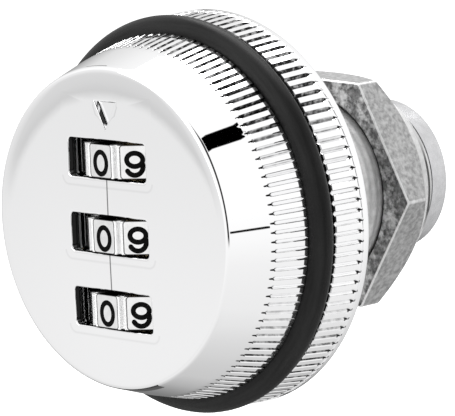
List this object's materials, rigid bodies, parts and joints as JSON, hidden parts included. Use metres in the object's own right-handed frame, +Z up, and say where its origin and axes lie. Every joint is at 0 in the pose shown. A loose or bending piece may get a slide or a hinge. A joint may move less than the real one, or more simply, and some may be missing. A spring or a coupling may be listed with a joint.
{
  "type": "combination locker lock",
  "caption": "Round turning-head combination lock with number dials, fixed threaded barrel with hexagon nut for a door hole, and a flat cam behind.",
  "frame": {"origin": "on the lock's axis, in the plane where the barrel's flange sits on the door", "axes": "+Y along the axis into the locker, +Z up with the dials upright, +X to the right seen from the front"},
  "size_m": [0.0499, 0.045, 0.0398],
  "materials": {
    "head_chrome": "mirror polished",
    "dial_chrome": "polished",
    "grip_rubber": "matte black",
    "cast_zinc": "plated die casting",
    "nut_zinc": "dull cast",
    "cam_steel": "zinc plated",
    "screw_steel": "plated",
    "spring_steel": "bright",
    "wheel_brass": "turned"
  },
  "bodies": {
    "mounting": {"barrel": "cast_zinc", "hex_nut": "nut_zinc"},
    "head": {"knob_shell": "head_chrome", "rear_ring": "head_chrome", "grip_ring": "grip_rubber", "ring_screws": "screw_steel", "code_wheel_1": "wheel_brass", "code_wheel_2": "wheel_brass", "code_wheel_3": "wheel_brass", "dial_spindle": "screw_steel", "wave_washer": "spring_steel", "lift_fork": "screw_steel", "dial_carrier": "cast_zinc", "carrier_screws": "screw_steel", "fence_springs": "spring_steel", "detent_spring": "spring_steel", "drive_shaft": "cast_zinc", "shaft_clip": "spring_steel", "stop_pin": "screw_steel", "stop_washer": "cast_zinc", "cam": "cam_steel", "lock_washer": "spring_steel", "cam_screw": "screw_steel"},
    "top_dial": {"dial_1": "dial_chrome"},
    "middle_dial": {"dial_2": "dial_chrome"},
    "bottom_dial": {"dial_3": "dial_chrome"},
    "fence_bar": {"fence": "wheel_brass"}
  },
  "joints": [
    {"name": "knob_turn", "type": "hinge", "parent": "mounting", "child": "head", "pos_m": [0, 0, 0], "axis": [0, 1, 0], "range_deg": [0, 90]},
    {"name": "dial_1_turn", "type": "hinge", "parent": "head", "child": "top_dial", "pos_m": [0, -0.01312, 0.00685], "axis": [0, 0, 1], "continuous": true},
    {"name": "dial_2_turn", "type": "hinge", "parent": "head", "child": "middle_dial", "pos_m": [0, -0.01312, -0.00057], "axis": [0, 0, 1], "continuous": true},
    {"name": "dial_3_turn", "type": "hinge", "parent": "head", "child": "bottom_dial", "pos_m": [0, -0.01312, -0.00799], "axis": [0, 0, 1], "continuous": true},
    {"name": "fence_slide", "type": "slide", "parent": "head", "child": "fence_bar", "axis": [0, -1, 0], "range_m": [0, 0.0013], "deforming": ["fence_springs"]}
  ],
  "couplings": [
    {"joint": "fence_slide", "follows": "knob_turn", "m_per_rad": 0.00082761}
  ]
}
